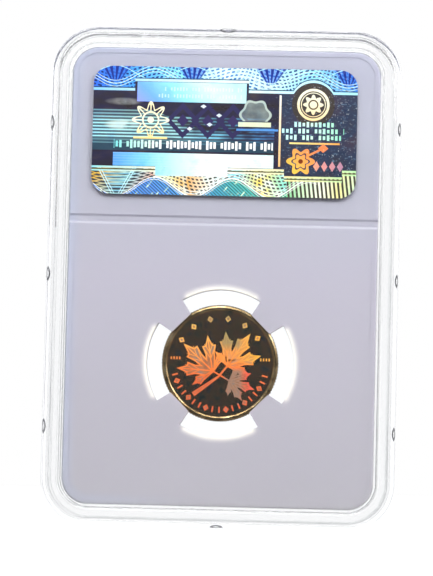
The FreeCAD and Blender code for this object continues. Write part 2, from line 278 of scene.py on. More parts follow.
class Finish(Nodes):
    """A material whose surface is one Principled shader."""

    def __init__(self, name, **constants):
        self.material = bpy.data.materials.new(name)
        self.material.use_nodes = True
        super().__init__(self.material.node_tree)
        self.shader = self.node("BsdfPrincipled")
        self.output = self.node("OutputMaterial", None, {"Surface": self.shader.outputs[0]})
        for name, value in constants.items():
            self.set(name.replace("_", " ").title().replace("Ior", "IOR"), value)

    def set(self, name, value):
        """Gives one of the shader's own sockets a value or a link."""
        self.feed(self.shader.inputs[name], value)

    def place(self, middle=(0, 0, 0)):
        """Millimetres across, through and up from a point of the slab."""
        spot = self.node("TexCoord").outputs["Object"]
        shift = {"operation": "SUBTRACT"}
        moved = self.node("VectorMath", shift, {0: spot, 1: tuple(middle)}).outputs[0]
        self.spot = self.node("VectorMath", {"operation": "SCALE"}, {0: moved, "Scale": 1 / MM}).outputs[0]
        parts = self.node("SeparateXYZ", None, {0: self.spot}).outputs
        return [Amount(self, part) for part in parts]

    def stretched(self, *scale):
        """The place with each axis scaled, for a pattern that is longer one way."""
        return self.node("VectorMath", {"operation": "MULTIPLY"}, {0: self.spot, 1: scale}).outputs[0]

    def noise(self, scale, detail=3.0, roughness=0.5, spot=None):
        """Soft noise from 0 to 1, `scale` features to the millimetre."""
        values = {"Vector": spot or self.spot, "Scale": scale, "Detail": detail, "Roughness": roughness}
        return Amount(self, self.node("TexNoise", None, values).outputs["Fac"])

    def bump(self, height, distance):
        """Relief of `distance` millimetres from a height between 0 and 1."""
        values = {"Height": height, "Distance": distance * MM}
        self.set("Normal", self.node("Bump", None, values).outputs[0])


class Print:
    """Flat inks laid one over another on a label, with places in millimetres from its middle."""

    def __init__(self, finish, across, up, ground):
        self.finish = finish
        self.u = across
        self.v = up
        self.colour = ground

    def ink(self, mask, colour):
        self.colour = self.finish.mix(mask, self.colour, colour)

    def panel(self, left, right, low, high):
        """1 inside a box."""
        return self.u.within(left, right) * self.v.within(low, high)

    def reach(self, u, v):
        """The distance to a point."""
        return ((self.u - u) ** 2 + (self.v - v) ** 2).root()

    def turn(self, u, v):
        """The angle about a point."""
        return self.finish.maths("ARCTAN2", self.v - v, self.u - u)

    def lozenge(self, u, v, half_width, half_height):
        """1 inside a lozenge."""
        return abs(self.u - u) / half_width + abs(self.v - v) / half_height < 1.0

    def rosette(self, u, v, radius, petals, depth):
        """The distance to a point, as a share of the edge of a rosette about it."""
        edge = (self.turn(u, v) * petals).cosine() * depth + (1 - depth)
        return self.reach(u, v) / (edge * radius)

    def dashes(self, left, right, middle, height, pitch, share):
        """A row of small upright dashes of uneven height, with gaps; each row has its own order."""
        step = self.u // pitch + middle
        tall = (step * 2.4).sine() * 0.2 + 0.8
        row = self.u.within(left, right) * (abs(self.v - middle) < tall * (height / 2))
        gap = (step * 1.7).sine() > -0.9
        return row * self.u.stripes(pitch, share) * gap


# ---------------------------------------------------------------- finishes of the slab

WHITE = (1.0, 1.0, 1.0)
CLEAR = (0.985, 0.99, 0.995)
CORNER_RADIUS = 8.2
WALL_WIDTH = 3.65  # from the outline of the slab in to its core
# how far in from the outline each moulded edge of the rim lies, where a grey line of painted shade is drawn,
# and how soft it is
MOULDED_EDGES = ((0.95, 0.08), (1.5, 0.06), (3.2, 0.07))
LUG_SPACING = 26.1
LUG_REACH = 0.5  # of the dark arc of painted shade drawn at each lug; the lugs themselves stand out a little less
LUG_RADIUS = 2.3
LUG_HALF_DEPTH = 1.6
LUG_SHADE_DARK = (0.08, 0.08, 0.09)
WALL_TINT = (0.952, 0.955, 0.958)
STEP_TINT = (0.93, 0.935, 0.94)
EDGE_SHADE_GREY = (0.42, 0.43, 0.44)
OPEN_TO_LIGHT = (0.97, 0.98, 0.99)


def inward(across, up):
    """Millimetres in from the outline of the slab, round its corners too."""
    past_x = abs(across) - (SLAB_SIZE.x / 2 - CORNER_RADIUS)
    past_z = abs(up) - (SLAB_SIZE.z / 2 - CORNER_RADIUS)
    corner = (past_x.most(0.0) ** 2 + past_z.most(0.0) ** 2).root()
    return CORNER_RADIUS - corner - past_x.most(past_z).least(0.0)


def from_lugs(across, up):
    """Millimetres from the round wall of the nearest of the lugs that key the halves together."""
    centre = LUG_RADIUS - LUG_REACH
    along = (abs(up) + LUG_SPACING / 2) % LUG_SPACING - LUG_SPACING / 2
    beside = ((abs(across) - SLAB_SIZE.x / 2 - centre) ** 2 + along ** 2).root()
    above = ((abs(up) - SLAB_SIZE.z / 2 - centre) ** 2 + across ** 2).root()
    return abs(beside.least(above) - LUG_RADIUS)


def clear_plastic():
    """Clear polystyrene: polished, faintly grey where its wall is thick, rougher along its moulded edges,
    where grey lines of painted shade are drawn, and with dark arcs of painted shade at its lugs.

    Light goes straight through it, so that it throws hardly any shadow on what it holds.
    """
    finish = Finish("clear_plastic", transmission_weight=1.0, ior=1.5)
    across, through, up = finish.place(SLAB_MIDDLE)
    inset = inward(across, up)
    scuff_and_shade_noise = finish.noise(1.6, detail=6.0, roughness=0.7)
    # painted shade: a dark arc along the round wall of each lug
    keys = from_lugs(across, up).rise(0.14, 0.08) * abs(through).rise(LUG_HALF_DEPTH, LUG_HALF_DEPTH - 0.4)
    wall = inset.rise(0.7, 1.0) * inset.rise(WALL_WIDTH - 0.1, WALL_WIDTH - 0.3)
    colour = finish.mix(wall, CLEAR, WALL_TINT)
    steps = inset.rise(0.85, 1.0) * inset.rise(1.9, 1.6) + inset.rise(2.9, 3.2) * 0.5
    colour = finish.mix(wall * steps, colour, STEP_TINT)
    # painted shade: grey lines along the moulded edges of the rim
    edges = 0.0
    for middle, soft in MOULDED_EDGES:
        edges = abs(inset - middle).rise(soft, soft * 0.5) + edges
    edge_shade = scuff_and_shade_noise * 0.4 + up.rise(30.0, -40.0) * 0.4 + 0.1  # painted shade: the edge lines are darker towards the bottom and vary with the scuff noise
    colour = finish.mix(edges * edge_shade, colour, EDGE_SHADE_GREY)
    finish.set("Base Color", finish.mix(keys, colour, LUG_SHADE_DARK))
    finish.set("Roughness", scuff_and_shade_noise.rise(0.55, 0.8) * 0.05 + edges * 0.08 + keys * 0.3)
    open_way = finish.node("BsdfTransparent", None, {0: OPEN_TO_LIGHT})
    shadow = finish.node("LightPath").outputs["Is Shadow Ray"]
    shaders = {0: shadow, 1: finish.shader.outputs[0], 2: open_way.outputs[0]}
    finish.feed(finish.output.inputs["Surface"], finish.node("MixShader", None, shaders).outputs[0])
    return finish.material


HOLE_RADIUS = 12.6
CHANNEL_EDGE = 8.9  # lower edge of the channel across the rear, where a highlight is painted, up from the middle of the slab
GLOW = 1.6  # how far the light that comes through the hole spreads into the core
GLOW_STRENGTH = 0.2
WARM_GLOW = (1.0, 0.95, 0.8)
BLACK = (0.0, 0.0, 0.0)


def core_plastic():
    """Soft pale grey plastic, tinted along its edges, with painted light and shade: lighter towards the top,
    paler and glowing round its hole, where light comes through, shaded along its foot and lit along the lower
    edge of its channel.
    """
    finish = Finish("core_plastic", subsurface_weight=0.5, subsurface_scale=MM, ior=1.45)
    finish.set("Subsurface Radius", (1.1, 1.0, 1.1))
    across, through, up = finish.place(SLAB_MIDDLE)
    cloud = finish.noise(0.05, detail=2.0)
    grain = finish.noise(7.0, detail=3.0)
    height = up + (cloud - 0.5) * 10.0
    half = SLAB_SIZE.z / 2
    # painted light and shade: lighter and bluer towards the top, as if lit from above, darker towards the
    # bottom
    colour = finish.ramp(
        height,
        -half,
        half,
        (0.412, 0.393, 0.422),
        (0.424, 0.403, 0.448),
        (0.434, 0.412, 0.474),
        (0.42, 0.424, 0.491),
        (0.42, 0.419, 0.512),
    )
    inset = inward(across, up)
    bluish_left = inset.rise(6.2, 3.8) * across.rise(0.0, -25.0)
    colour = finish.mix(bluish_left * 0.5, colour, (0.4, 0.44, 0.56))
    # painted shadow along the foot of the core, inside its bottom edge
    painted_foot_shade = inset.rise(4.9, 3.9) * up.rise(-30.0, -40.0)
    colour = finish.mix(painted_foot_shade * 0.6, colour, (0.37, 0.36, 0.37))
    # painted highlight along the lower wall of the channel, which faces the light
    channel_highlight = abs(up - CHANNEL_EDGE).rise(0.3, 0.1) * through.rise(-1.0, -1.3)
    colour = finish.mix(channel_highlight * 0.35, colour, (0.75, 0.75, 0.8))
    coin_up = (COIN_MIDDLE.z - SLAB_MIDDLE.z) / MM
    radius = (across ** 2 + (up - coin_up) ** 2).root()
    diagonal = abs(across * (up - coin_up)) / (radius ** 2)
    between_prongs = diagonal.rise(0.47, 0.4)
    rear_side = through.rise(0.5, -0.5)
    # painted light round the hole, in the base colour and as light emitted by the core
    glow = radius.rise(HOLE_RADIUS + GLOW, HOLE_RADIUS - 0.1) * between_prongs * rear_side
    colour = finish.mix(glow * glow * 0.65, colour, (0.95, 0.92, 0.8))
    finish.set("Emission Color", finish.mix(glow * glow * glow, BLACK, WARM_GLOW))
    finish.set("Emission Strength", GLOW_STRENGTH)
    finish.set("Base Color", finish.mix((grain - 0.5) * 0.1, colour, (0.3, 0.3, 0.4)))
    finish.set("Roughness", grain * 0.15 + 0.42)
    finish.bump(grain, 0.008)
    return finish.material


SIDE = 22.7  # half the foil's width, with a little to spare
NET_PERIOD = 13.3
NET_START = -5.6


def guilloche(art, middle):
    """1 on the holes of a fine net of crossing waves, about a line `middle` up the label."""
    swing = art.u.wave(NET_PERIOD, NET_START + 1.5)
    across = (art.u + (art.v - middle) * swing * 0.45).stripes(0.74, 0.6)
    along = (art.v + swing * 0.7).stripes(0.6, 0.52)
    return across * along


PALE = (0.8, 0.98, 1.0)
ORANGE = (1.0, 0.42, 0.08)
BORDER = 6.9  # height of the border lines above and below the middle of the label
PANEL_TOP = 8.55
BADGE = (15.07, 4.97)  # middle of the round badge
BADGE_ARCH = 3.9
LEFT_PART = 8.45  # right end of the label's left part
TINT_LEFT = -19.0  # left end of the lower tint panel
TAB = (-11.7, 0.65, -7.75)  # left, right and foot of the tab under the lower tint panel
OUTLINED = (-12.7, 1.8)  # middle of the outlined rosette
FLOWER = (13.1, -4.8)
SAIL = -18.3  # middle of the sail-shaped net at the left of the bottom band


def top_band(art):
    """Blue net along the top edge, over a light line that steps over the panel and arches over the badge."""
    u, v, finish = art.u, art.v, art.finish
    arch = (BADGE_ARCH ** 2 - (u - BADGE[0]) ** 2).root() + (BADGE[1] * (u.near(BADGE[0], BADGE_ARCH)))
    line = (u.within(-15.5, 4.0) * PANEL_TOP).most(arch).most(BORDER)
    above = v - line
    band = above > 0.0
    glow = finish.ramp(
        u, -SIDE, SIDE,
        (0.02, 0.13, 0.75), (0.06, 0.36, 0.95), (0.25, 0.75, 1.0), (0.75, 0.98, 1.0),
        (0.6, 0.95, 1.0), (0.3, 0.75, 1.0), (0.05, 0.25, 0.85),
    )
    art.ink(band, glow)
    dots = finish.ramp(
        u, -SIDE, SIDE,
        (0.0, 0.01, 0.1), (0.0, 0.04, 0.22), (0.06, 0.25, 0.6), (0.0, 0.04, 0.2), (0.0, 0.015, 0.12),
    )
    art.ink(band * guilloche(art, 9.5), dots)
    ray = ((u - NET_START + NET_PERIOD / 2) % NET_PERIOD - NET_PERIOD / 2) / (v - 7.3).most(0.5)
    fan = band * abs(ray).rise(0.8, 0.6) * v.rise(8.0, 8.8)
    art.ink(fan * 0.7, (0.02, 0.14, 0.7))
    art.ink(fan * ray.stripes(0.3, 0.5), (0.0, 0.02, 0.25))
    for lift, width in ((0.0, 0.06), (0.5, 0.04), (-0.5, 0.04)):
        crossing = u.wave(NET_PERIOD, NET_START + NET_PERIOD / 2) * 1.3 + (9.3 + lift)
        art.ink(band * v.near(crossing, width), (0.7, 0.97, 1.0))
    art.ink(band * v.near(u.wave(NET_PERIOD, NET_START) * 1.2 + 9.9, 0.06), (0.5, 0.9, 1.0))
    art.ink(above.near(0.42, 0.09), (0.0, 0.05, 0.12))
    art.ink(above.near(0.1, 0.22), finish.ramp(u, -SIDE, SIDE, (0.25, 0.6, 1.0), PALE, (0.4, 0.85, 1.0)))


def rear_lines(art):
    """Bright fine lines across the dark middle of the label."""
    u, v, finish = art.u, art.v, art.finish
    cloud = finish.noise(0.16, spot=finish.stretched(1.0, 1.0, 3.0))
    field = art.panel(-SIDE, 8.5, -2.3, 3.5) * (v < u.rise(-9.0, -14.0) * 1.2 + 2.5)
    strength = field * (cloud - 0.16 + u.rise(0.0, -20.0) * 0.45).rise(0.25, 0.55)
    strength = strength * (v.rise(3.4, 1.0) * 0.6 + 0.4)
    lines = (v + 0.1).stripes(0.56, 0.42)
    glow = finish.ramp(
        u, -SIDE, 9.0,
        (0.35, 0.8, 0.95), (0.5, 0.9, 0.85), (0.2, 0.65, 0.9), (0.05, 0.25, 0.7),
    )
    art.ink(strength * lines * 0.95, glow)
    art.ink(strength * (1 - lines) * 0.13, glow)
    haze = (((u + 17.6) / 3.4) ** 2 + ((v - 0.9) / 1.1) ** 2).rise(1.0, 0.0)
    haze = haze * finish.noise(0.5).rise(0.3, 0.6)
    art.ink(haze * 0.7, (0.75, 0.92, 0.85))


def panels(art):
    """Two bright tint panels with rows of pale dashes."""
    u, v, finish = art.u, art.v, art.finish
    tint = finish.ramp(
        u + v, -12.0, 10.0,
        (0.36, 0.3, 0.95), (0.16, 0.42, 0.98), (0.3, 0.8, 0.98), (0.66, 0.98, 0.98), (0.5, 0.9, 1.0),
    )
    art.ink(art.panel(-15.1, 3.6, 4.95, 8.35), tint)
    for middle, left in ((7.2, -10.5), (6.0, -11.5)):
        art.ink(art.dashes(left, 2.8, middle, 0.75, 0.52, 0.5) * 0.45, (0.85, 1.0, 1.0))
    left_end, right_end, foot = TAB
    lower = art.panel(TINT_LEFT, LEFT_PART, -6.2, -3.85).most(art.panel(left_end, right_end, foot, -6.0))
    tint = finish.ramp(
        u, TINT_LEFT, 8.5,
        (0.1, 0.35, 0.95), (0.2, 0.65, 1.0), (0.6, 0.97, 1.0), (0.92, 1.0, 0.97), (1.0, 1.0, 0.93),
        (0.75, 1.0, 1.0),
    )
    art.ink(lower, tint)
    art.ink(lower * v.stripes(0.45, 0.4) * 0.15, (0.6, 0.85, 1.0))
    for left, right in ((TINT_LEFT, left_end), (right_end, LEFT_PART)):
        art.ink(art.panel(left, right, -6.45, -6.15), (0.02, 0.09, 0.11))


def emblems(art):
    """Plain ornaments of the label's left part: an outlined rosette, dark lozenges and a faint rosette."""
    u, v, finish = art.u, art.v, art.finish
    for step in range(3):
        middle = -7.2 + 4.3 * step
        dark = art.lozenge(middle, 1.8, 2.9, 3.1) * (1 - art.lozenge(middle, 1.8, 1.9, 2.0))
        art.ink(dark, (0.022, 0.018, 0.085))
        art.ink(art.lozenge(middle, 1.8, 1.0, 1.1), (0.03, 0.02, 0.1))
    for spot in ((-3.7, 4.3), (-1.0, 2.8), (-6.0, 0.4), (-2.6, 1.2)):
        art.ink(art.lozenge(*spot, 0.5, 0.35), (0.7, 0.8, 0.9))
    ghost = art.rosette(5.2, 3.0, 3.0, 6, 0.08)
    veil = finish.noise(0.5) * 0.6
    art.ink(ghost.rise(1.0, 0.75) * (v > 1.9) * veil, (0.5, 0.62, 0.55))
    art.ink(ghost.near(0.86, 0.07) * (v > 1.9), (0.45, 0.55, 0.5))
    art.ink(art.panel(2.3, 7.9, 0.95, 1.75) * 0.9, (0.82, 0.9, 0.62))
    art.ink(art.panel(2.0, 9.3, 0.25, 0.6) * 0.8, (0.1, 0.35, 0.85))
    rosette = art.rosette(*OUTLINED, 3.2, 8, 0.2)
    gold = finish.ramp(v, -1.2, 4.8, (1.0, 0.75, 0.3), (1.0, 0.95, 0.7), (1.0, 0.9, 0.55))
    art.ink(rosette.near(0.93, 0.075), gold)
    art.ink(art.reach(*OUTLINED).near(1.35, 0.14), gold)
    spokes = (art.turn(*OUTLINED) * 8).cosine() > 0.93
    art.ink(spokes * art.reach(*OUTLINED).within(1.4, 2.9), gold)
    art.ink(art.reach(*OUTLINED) < 0.55, gold)
    art.ink(art.panel(-15.6, -9.8, -1.45, -1.1), gold)
    title = finish.ramp(u, -18.9, -10.0, (0.2, 0.75, 0.75), (0.6, 0.95, 0.8), WHITE)
    art.ink(art.panel(-SIDE, LEFT_PART, -3.5, -1.5) * 0.75, (0.02, 0.07, 0.11))
    art.ink(art.dashes(-18.9, 8.3, -2.4, 1.55, 0.62, 0.66), title)


def badge_panel(art):
    """Dark right part with a ringed rosette, three rows of dashes, a rule and a sprig."""
    u, v, finish = art.u, art.v, art.finish
    dark = finish.ramp(
        finish.noise(0.25) * 3.0 + v * 0.05, 0.6, 2.4,
        (0.035, 0.027, 0.035), (0.02, 0.035, 0.08), (0.06, 0.035, 0.055),
    )
    art.ink(art.panel(9.15, SIDE, -7.7, BORDER), dark)
    streaks = finish.noise(1.1, detail=4.0, roughness=0.65, spot=finish.stretched(1.0, 1.0, 1.7))
    art.ink(art.panel(10.0, SIDE, -7.0, 6.5) * streaks.rise(0.56, 0.72) * 0.6, (0.25, 0.42, 0.6))
    art.ink(art.reach(*BADGE) < BADGE_ARCH - 0.25, (0.045, 0.035, 0.03))
    line = finish.ramp(v, -6.0, 6.6, (1.0, 0.55, 0.2), (1.0, 0.75, 0.45), (1.0, 0.95, 0.85))
    art.ink(art.panel(9.28, 9.62, -5.8, 6.5), line)
    ring = art.reach(*BADGE).near(2.55, 0.22).most(art.reach(*BADGE).near(2.05, 0.07))
    pale = finish.ramp(v, 2.2, 7.7, (1.0, 0.72, 0.35), (1.0, 0.9, 0.6), (1.0, 0.97, 0.75))
    art.ink(ring, pale)
    art.ink(art.rosette(*BADGE, 1.75, 8, 0.16) < 1.0, pale)
    art.ink(art.reach(*BADGE).near(0.75, 0.12), (0.09, 0.05, 0.02))
    words = finish.ramp(u, 9.8, 20.4, (0.55, 0.95, 1.0), (0.65, 1.0, 0.8), (0.3, 0.85, 0.6))
    for middle, half in ((1.54, 3.7), (0.42, 5.3), (-0.7, 4.8)):
        art.ink(art.dashes(15.1 - half, 15.1 + half, middle, 0.95, 0.7, 0.6), words)
    art.ink(art.panel(11.1, 19.7, -1.85, -1.55), finish.ramp(u, 11.0, 19.7, (1.0, 0.8, 0.3), ORANGE))
    sprig = finish.ramp(u + v, 5.0, 12.5, (1.0, 0.62, 0.08), (1.0, 0.4, 0.08), (0.95, 0.25, 0.08))
    flower = art.rosette(*FLOWER, 2.45, 6, 0.17)
    art.ink((flower < 1.0) * (1 - flower.near(0.6, 0.06)), sprig)
    art.ink(art.reach(*FLOWER) < 0.4, (0.2, 0.03, 0.0))
    art.ink((v - (u - 16.0) * 0.5 + 2.95).near(0.0, 0.2) * u.within(14.3, 17.0), sprig)
    art.ink(art.lozenge(16.9, -2.5, 0.9, 0.75), sprig)
    pink = finish.ramp(u, 14.8, 20.0, (0.95, 0.4, 0.2), (0.75, 0.3, 0.3), (0.5, 0.25, 0.35))
    for step in range(4):
        art.ink(art.lozenge(15.8 + 1.35 * step, -5.6, 0.55, 0.9), pink)


def bottom_band(art):
    """Many-coloured net along the bottom edge, with a stepped border over it."""
    u, v, finish = art.u, art.v, art.finish
    step = u.within(10.3, 20.2) * 1.15
    line = -(step + 6.5)
    below = line - v
    left_end, right_end, foot = TAB
    band = (below > 0.0) * (1 - art.panel(left_end, right_end, foot, -6.0))
    hue = finish.ramp(
        u, -SIDE, SIDE,
        (0.65, 0.4, 0.05), (0.1, 0.5, 0.7), (0.95, 0.25, 0.12), (0.75, 0.95, 0.55), (1.0, 0.5, 0.12),
        (0.9, 0.95, 0.85), (0.2, 0.75, 0.85), (1.0, 0.8, 0.15), (0.35, 0.9, 0.7), (0.3, 0.7, 0.25),
        (0.75, 0.9, 0.45), (0.45, 0.6, 0.15),
    )
    art.ink(band, finish.mix(finish.noise(0.5, detail=1.0).rise(0.45, 0.75), hue, (0.85, 1.0, 0.9)))
    art.ink(band * guilloche(art, -9.0), (0.05, 0.05, 0.045))
    wave = u.wave(NET_PERIOD, -11.8) * 1.6 - 9.6
    hill = finish.ramp(
        u + v, -22.0, 8.0,
        (0.1, 0.35, 0.95), (0.08, 0.5, 0.75), (0.1, 0.75, 0.45), (0.2, 0.7, 0.5),
    )
    under = band * (v < wave) * (u < 11.0)
    art.ink(under, (0.03, 0.035, 0.04))
    art.ink(under * (u + v * 1.1).stripes(0.62, 0.58), hill)
    sheen = finish.noise(0.7, detail=1.0).rise(0.5, 0.7)
    art.ink(under * (u - v * 0.8).stripes(0.9, 0.3) * sheen, (0.75, 1.0, 0.7))
    right = band * (u > 10.8)
    art.ink(right, (0.05, 0.045, 0.03))
    posts = finish.ramp(
        u, 11.0, 22.5,
        (0.25, 0.65, 0.3), (0.7, 0.95, 0.6), (0.95, 1.0, 0.8), (0.9, 0.85, 0.35), (0.75, 0.95, 0.6),
    )
    art.ink(right * (u + v * 0.12).stripes(0.72, 0.5), posts)
    bright = (1.0, 1.0, 0.9)
    for width, lift in ((0.13, 0.0), (0.06, 0.45), (0.05, -0.4), (0.05, 0.85)):
        art.ink(band * (u < 16.0) * (v - wave - lift).near(0.0, width), bright)
    left = band * (v > wave) * (u < -12.0)
    art.ink(left, (0.045, 0.05, 0.06))
    gold = finish.ramp(u - v * 0.8, -15.5, -4.0, (0.75, 0.45, 0.06), (0.35, 0.75, 0.8), (0.95, 0.3, 0.12))
    for sag, pitch in ((0.035, 0.5), (-0.03, 0.66)):
        art.ink(left * (v - (u - SAIL) ** 2 * sag).stripes(pitch, 0.3), gold)
    sail = abs(u - SAIL) - (v + 11.6) * 0.55
    art.ink(left * (sail < 0.0) * (v - 0.2).stripes(0.6, 0.3), (0.2, 0.5, 0.65))
    for offset in (0.0, 0.45):
        art.ink(left * (sail - offset).near(0.0, 0.07), (0.6, 0.92, 1.0))
    green = finish.ramp(
        u, -SIDE, SIDE,
        (0.3, 0.75, 0.8), (0.95, 0.95, 0.7), (1.0, 1.0, 0.9), (1.0, 0.85, 0.4), (0.5, 0.85, 0.4),
    )
    outside = 1 - u.within(left_end, right_end)
    art.ink(outside * below.near(-0.1, 0.17), green)
    art.ink(outside * below.near(0.25, 0.1), (0.1, 0.1, 0.03))
    art.ink(outside * below.near(0.5, 0.12), green)


def foil():
    """Security foil: bright tints, nets and plain ornaments on a near-black ground, as seen from the rear."""
    finish = Finish("hologram_foil", coat_weight=0.15, coat_roughness=0.1, specular_ior_level=0.3)
    across, _, up = finish.place(FOIL_MIDDLE)
    cloud = finish.noise(0.22, detail=4.0, spot=finish.stretched(0.6, 1.0, 1.6))
    ground = finish.ramp(cloud, 0.35, 0.7, (0.02, 0.014, 0.018), (0.014, 0.012, 0.045), (0.05, 0.036, 0.04))
    art = Print(finish, across, up, ground)
    smear = (((across + 17.3) / 3.6) ** 2 + ((up - 4.9) / 0.75) ** 2).rise(1.0, 0.1)
    art.ink(smear * finish.noise(0.8) * 0.45, (0.6, 0.62, 0.6))
    rear_lines(art)
    panels(art)
    emblems(art)
    badge_panel(art)
    top_band(art)
    bottom_band(art)
    shimmer = finish.noise(0.45, detail=5.0, roughness=0.6)
    tint = finish.ramp(shimmer, 0.3, 0.7, (0.62, 0.78, 0.95), WHITE, (1.0, 0.95, 0.86))
    glint = finish.noise(3.2, detail=2.0, roughness=0.7).rise(0.62, 0.72) * across.rise(4.0, 20.0) * 0.5
    colour = finish.mix(0.6, art.colour, tint, "MULTIPLY")
    finish.set("Base Color", finish.mix(glint, colour, (0.8, 0.9, 0.95)))
    finish.set("Metallic", 0.2)
    finish.set("Roughness", cloud * 0.2 + 0.2)
    finish.bump(finish.noise(2.5), 0.004)
    return finish.material


def paper():
    """Printed card: cream, with a tinted heading, plain bars for its lines and a fine border."""
    finish = Finish("label_paper")
    across, _, up = finish.place(PAPER_MIDDLE)
    fibres = finish.noise(3.0, detail=6.0, roughness=0.7)
    ground = finish.mix(fibres * 0.25, (0.86, 0.84, 0.78), (0.7, 0.67, 0.6))
    art = Print(finish, -across, up, ground)
    half_width = PAPER_SIZE.x / 2
    half_height = PAPER_SIZE.z / 2
    edge = (half_width - abs(across)).least(half_height - abs(up))
    upright = (across + up.wave(1.6) * 0.25).stripes(0.55, 0.35)
    level = (up + across.wave(1.6) * 0.25).stripes(0.55, 0.35)
    art.ink((edge < 1.9) * upright * level * 0.7, (0.35, 0.27, 0.12))
    art.ink(edge.near(2.0, 0.12), (0.3, 0.22, 0.08))
    art.ink(art.panel(-half_width + 2.4, half_width - 2.4, 5.6, 9.6), (0.05, 0.1, 0.24))
    art.ink(art.dashes(-12.0, 12.0, 7.6, 2.0, 0.9, 0.6), (0.8, 0.78, 0.7))
    ink = (0.03, 0.03, 0.035)
    for left, right, middle, height in (
        (-22.0, 4.0, 3.6, 1.9), (-22.0, -3.0, 0.9, 1.9), (-22.0, 8.0, -1.8, 1.3), (-22.0, -8.0, -8.3, 1.0),
    ):
        art.ink(art.dashes(left, right, middle, height, 0.8, 0.62), ink)
    bars = ((across // 0.24) * 3.7).sine() > -0.1
    art.ink(art.panel(-22.0, -6.0, -6.9, -3.6) * bars, ink)
    middle = (15.5, -2.4)
    seal = art.rosette(*middle, 5.4, 18, 0.05)
    art.ink(seal < 1.0, (0.45, 0.31, 0.09))
    art.ink(seal.near(0.84, 0.03), (0.8, 0.65, 0.3))
    art.ink(art.rosette(*middle, 3.2, 8, 0.3) < 1.0, (0.78, 0.62, 0.28))
    finish.set("Base Color", art.colour)
    finish.set("Roughness", fibres * 0.2 + 0.55)
    finish.bump(fibres, 0.02)
    return finish.material


def coin_gold():
    """Proof gold: a mirror with patches of tone and a few faint hairlines."""
    finish = Finish("coin_gold", metallic=1.0)
    finish.place(COIN_MIDDLE)
    hairlines = finish.noise(5.0, detail=2.0, spot=finish.stretched(0.4, 1.0, 1.6))
    patches = finish.noise(0.8, detail=3.0)
    colour = finish.ramp(
        patches, 0.3, 0.7,
        (0.5, 0.5, 0.34), (0.86, 0.62, 0.3), (1.0, 0.6, 0.3), (0.6, 0.56, 0.4),
    )
    finish.set("Base Color", colour)
    finish.set("Roughness", hairlines.rise(0.55, 0.8) * 0.1 + 0.06)
    return finish.material


def rim_gold():
    """Gold of the coin's raised rim, painted darker and browner than its field as shade, so that the bright
    tent it mirrors comes out brown.
    """
    finish = Finish("rim_gold", metallic=1.0)
    finish.place(COIN_MIDDLE)
    rim_shade_mottle = finish.noise(0.5, detail=4.0)
    # painted shade: a darker, browner copy of the gold, mottled at random
    colour = finish.ramp(rim_shade_mottle, 0.35, 0.65, (0.17, 0.12, 0.06), (0.3, 0.21, 0.1), (0.42, 0.33, 0.19))
    finish.set("Base Color", colour)
    finish.set("Roughness", finish.noise(6.0) * 0.2 + 0.12)
    finish.bump(finish.noise(8.0), 0.008)
    return finish.material


def frosted_gold(name, dim=0.0):
    """Frosted relief in shifting oranges and yellows; `dim` is the share of shade on a web between veins."""
    finish = Finish(name, metallic=0.1, specular_ior_level=0.3)
    across, _, up = finish.place(COIN_MIDDLE)
    cloud = finish.noise(0.6, detail=3.0)
    grain = finish.noise(12.0, detail=3.0)
    hue = finish.ramp(
        up + (cloud - 0.5) * 4.0, -8.5, 8.5,
        (0.7, 0.11, 0.03), (0.74, 0.13, 0.03), (0.82, 0.16, 0.035), (0.98, 0.26, 0.04), (1.0, 0.43, 0.08),
        (0.85, 0.5, 0.1), (0.4, 0.29, 0.12),
    )
    yellow = (across - up * 0.3).rise(1.5, 5.5) * up.rise(-0.6, 1.0)
    hue = finish.mix(yellow, hue, (0.92, 0.46, 0.05))
    olive = across.rise(-0.4, 0.6) * across.rise(4.2, 2.6) * up.rise(1.6, 3.6) * up.rise(7.0, 6.2)
    hue = finish.mix(olive * 0.85, hue, (0.33, 0.28, 0.11))
    grey = across.rise(0.2, 1.6) * across.rise(4.9, 3.2) * up.rise(-0.6, -1.5) * up.rise(-7.1, -6.6)
    hue = finish.mix(grey * 0.85, hue, (0.28, 0.22, 0.16))
    inside_ring = (across ** 2 + up ** 2).rise(54, 49)
    rose = across.rise(3.2, 4.9) * up.rise(-0.4, -1.4) * up.rise(-7.1, -6.6) * inside_ring
    hue = finish.mix(rose * 0.8, hue, (0.8, 0.11, 0.07))
    if dim:
        shade = finish.ramp(cloud, 0.35, 0.65, (0.14, 0.09, 0.06), (0.38, 0.17, 0.07), (0.24, 0.2, 0.17))
        hue = finish.mix((cloud - 0.5) * 0.6 + dim, hue, shade)
    finish.set("Base Color", finish.mix(grain * 0.3, hue, (0.6, 0.35, 0.1), "MULTIPLY"))
    finish.set("Roughness", grain * 0.2 + 0.32)
    finish.bump(grain, 0.02)
    return finish.material


def floor_finish():
    """Plain pale floor."""
    finish = Finish("floor_white", roughness=0.8, base_color=(0.9, 0.9, 0.9))
    finish.set("Emission Color", WHITE)
    finish.set("Emission Strength", 0.35)
    return finish.material


TENT_STRENGTH = 1.2
TENT = (  # colour of the tent from the rear of the slab, at 0, round to its front, at 1
    (0.0, (0.036, 0.045, 0.07)),
    (0.009, (0.05, 0.052, 0.07)),
    (0.05, (0.29, 0.29, 0.305)),
    (0.2, (0.54, 0.54, 0.55)),
    (0.35, (0.86, 0.86, 0.87)),
    (0.6, (1.0, 1.0, 1.0)),
)


